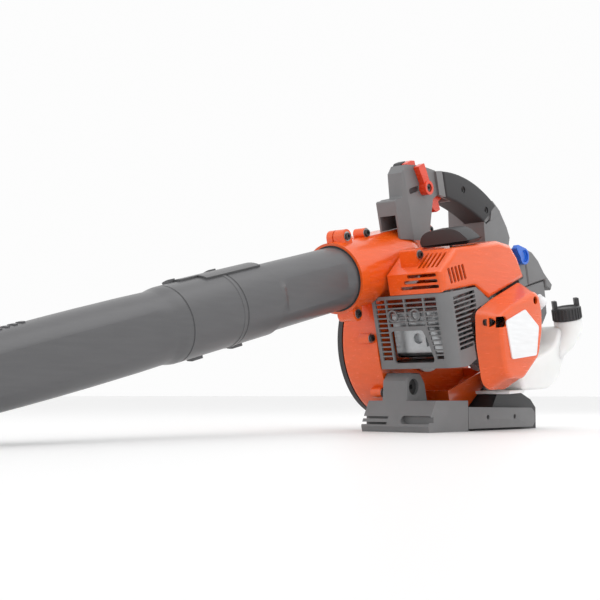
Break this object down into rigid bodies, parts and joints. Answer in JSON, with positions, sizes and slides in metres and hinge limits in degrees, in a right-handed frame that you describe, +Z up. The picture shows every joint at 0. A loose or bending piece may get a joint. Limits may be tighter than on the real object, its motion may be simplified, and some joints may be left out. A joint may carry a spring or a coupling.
{
  "type": "leaf blower",
  "caption": "Hand-held petrol leaf blower standing on its base, with blow tube, scroll fan housing, engine under covers, recoil starter and arched handle.",
  "frame": {"origin": "on the floor under the crank axis, in the plane where the two halves of the fan housing meet (the blow tube's axis plane)", "axes": "+X forwards, the way the air leaves; +Y to the machine's left, the starter side; +Z up"},
  "size_m": [0.97, 0.2072, 0.3446],
  "materials": {
    "orange_plastic": "glossy moulded plastic",
    "grey_plastic": "satin moulded plastic",
    "tube_plastic": "semi-gloss moulded plastic",
    "dark_plastic": "matt moulded plastic",
    "grip_rubber": "soft touch",
    "red_plastic": "glossy moulded plastic",
    "blue_plastic": "glossy moulded plastic",
    "white_plastic": "plain badge",
    "tank_plastic": "milky translucent",
    "cast_aluminium": "as cast",
    "plated_steel": "zinc plated",
    "dark_steel": "black oxide",
    "black_rubber": "moulded",
    "filter_foam": "open-cell foam",
    "cord_fibre": "braided cord",
    "ceramic": "glazed"
  },
  "bodies": {
    "unit": {"fan_housing_right": "orange_plastic", "fan_housing_left": "orange_plastic", "housing_screws": "dark_steel", "intake_grille": "dark_plastic", "blow_tube": "tube_plastic", "crankcase_right": "cast_aluminium", "crankcase_left": "cast_aluminium", "main_bearings": "plated_steel", "shaft_seals": "black_rubber", "cylinder": "cast_aluminium", "cylinder_bolts": "plated_steel", "spark_plug": "ceramic", "spark_plug_cap": "black_rubber", "muffler": "plated_steel", "muffler_guard": "grey_plastic", "cylinder_cover": "orange_plastic", "ignition_module": "dark_plastic", "intake_manifold": "black_rubber", "carburettor": "cast_aluminium", "air_box": "grey_plastic", "filter_holder": "grey_plastic", "air_filter": "filter_foam", "ignition_lead": "black_rubber", "fuel_hose": "black_rubber", "starter_housing": "orange_plastic", "starter_badge": "white_plastic", "cover_screws": "dark_steel", "recoil_spring": "plated_steel", "starter_rope": "cord_fibre", "handle_right": "grey_plastic", "handle_left": "grey_plastic", "handle_grip": "grip_rubber", "trigger_pin": "plated_steel", "lever_screw": "dark_steel", "fuel_tank": "tank_plastic", "base_stand": "grey_plastic", "base_side_bar": "grey_plastic", "base_bushes": "black_rubber"},
    "rotor": {"crankshaft": "plated_steel", "impeller": "grey_plastic", "impeller_nut": "plated_steel", "flywheel": "cast_aluminium", "starter_pawls": "plated_steel"},
    "piston_group": {"piston": "cast_aluminium", "piston_ring": "plated_steel", "piston_pin": "plated_steel", "connecting_rod": "plated_steel", "crank_pin": "plated_steel"},
    "trigger": {"throttle_trigger": "red_plastic"},
    "carburettor_throttle": {"throttle_shaft": "plated_steel"},
    "cruise_lever": {"throttle_lever": "red_plastic"},
    "stop_button": {"stop_switch": "red_plastic"},
    "choke": {"choke_knob": "blue_plastic"},
    "primer": {"primer_bulb": "white_plastic"},
    "pull_grip": {"starter_handle": "dark_plastic"},
    "pulley": {"starter_pulley": "dark_plastic", "rope_coil": "cord_fibre"},
    "tank_cap": {"fuel_cap": "dark_plastic"},
    "filter_lid": {"air_filter_cover": "grey_plastic"},
    "nozzle": {"nozzle_tube": "tube_plastic"}
  },
  "joints": [
    {"name": "rotor_spin", "type": "hinge", "parent": "unit", "child": "rotor", "pos_m": [0, 0, 0.115], "axis": [0, 1, 0], "continuous": true},
    {"name": "piston_stroke", "type": "slide", "parent": "unit", "child": "piston_group", "axis": [0.2419, 0, 0.9703], "range_m": [0, 0.028]},
    {"name": "trigger_pull", "type": "hinge", "parent": "unit", "child": "trigger", "pos_m": [0.00255, 0.022, 0.30709], "axis": [0, 1, 0], "range_deg": [0, 16], "stiffness_Nm_per_rad": 0.08, "springref_deg": -20.05},
    {"name": "throttle_turn", "type": "hinge", "parent": "unit", "child": "carburettor_throttle", "pos_m": [-0.04903, 0.064, 0.17463], "axis": [0, 1, 0], "range_deg": [0, 75]},
    {"name": "cruise_lever_turn", "type": "hinge", "parent": "unit", "child": "cruise_lever", "pos_m": [0.02995, 0.04, 0.30953], "axis": [0, -1, 0], "range_deg": [0, 60]},
    {"name": "stop_press", "type": "slide", "parent": "unit", "child": "stop_button", "axis": [-0.2419, 0, -0.9703], "range_m": [0, 0.003], "stiffness_N_per_m": 150, "springref_m": -0.003},
    {"name": "choke_turn", "type": "hinge", "parent": "unit", "child": "choke", "pos_m": [-0.07768, 0.115, 0.22506], "axis": [0, -1, 0], "range_deg": [0, 70]},
    {"name": "primer_press", "type": "slide", "parent": "unit", "child": "primer", "axis": [0, -1, 0], "range_m": [0, 0.004], "stiffness_N_per_m": 200, "springref_m": -0.002},
    {"name": "pull_start", "type": "slide", "parent": "unit", "child": "pull_grip", "axis": [0.2419, 0, 0.9703], "range_m": [0, 0.6], "stiffness_N_per_m": 6, "springref_m": -0.4},
    {"name": "pulley_turn", "type": "hinge", "parent": "unit", "child": "pulley", "pos_m": [0, 0.133, 0.115], "axis": [0, 1, 0], "range_deg": [0, 1500]},
    {"name": "cap_turn", "type": "hinge", "parent": "unit", "child": "tank_cap", "pos_m": [-0.18677, 0.122, 0.14714], "axis": [0.2419, 0, 0.9703], "range_deg": [0, 450]},
    {"name": "filter_lid_slide", "type": "slide", "parent": "unit", "child": "filter_lid", "axis": [-0.9703, 0, 0.2419], "range_m": [0, 0.05]},
    {"name": "nozzle_twist", "type": "hinge", "parent": "unit", "child": "nozzle", "pos_m": [0.36095, 0, 0.13662], "axis": [0.9703, 0, -0.2419], "range_deg": [0, 22]}
  ],
  "couplings": [
    {"joint": "throttle_turn", "follows": "trigger_pull", "ratio": 4.375},
    {"joint": "pulley_turn", "follows": "pull_start", "rad_per_m": 42.919}
  ]
}
